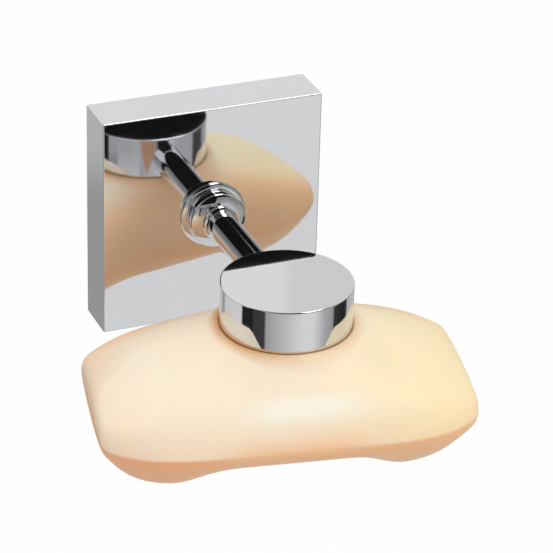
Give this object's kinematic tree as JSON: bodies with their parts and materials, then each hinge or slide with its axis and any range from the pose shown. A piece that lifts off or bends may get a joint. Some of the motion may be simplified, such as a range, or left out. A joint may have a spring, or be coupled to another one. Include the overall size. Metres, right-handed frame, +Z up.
{
  "type": "magnetic soap holder",
  "caption": "Wall-mounted soap holder: square polished cover, stepped collar, round arm and a magnetic head that carries a bar of soap by the steel cap pressed into it.",
  "frame": {"origin": "centre of the wall bracket's back face, on the wall", "axes": "+Y into the wall, -Y out along the arm, +Z up, +X to the right of someone who faces the wall"},
  "size_m": [0.0907, 0.0895, 0.0667],
  "materials": {
    "chrome": "mirror-polished chrome plate",
    "steel": "zinc-plated steel",
    "magnet": "dull nickel-plated magnet",
    "rubber": "smooth black rubber",
    "soap": "waxy cream to peach soap"
  },
  "bodies": {
    "holder": {"rose_cover": "chrome", "wall_bracket": "steel", "cover_grub_screw": "steel", "arm_bolt": "steel", "arm_washer": "steel", "arm_spring_washer": "steel", "collar_flange": "chrome", "collar_disc": "chrome", "collar_hub": "chrome", "arm_bar": "chrome", "head_stud": "steel", "head_drum": "chrome", "magnet_pot": "steel", "magnet_ring": "magnet", "magnet_screw": "steel", "magnet_seal": "rubber", "magnet_face": "steel"},
    "cap": {"soap_cap": "steel"},
    "soap": {"soap_bar": "soap"}
  },
  "joints": [
    {"name": "soap_pull_off", "type": "slide", "parent": "holder", "child": "cap", "axis": [0, 0, -1], "range_m": [0, 0.04]},
    {"name": "soap_turn", "type": "hinge", "parent": "cap", "child": "soap", "pos_m": [0, -0.0585, -0.0056], "axis": [0, 0, 1], "range_deg": [-45, 237]}
  ]
}
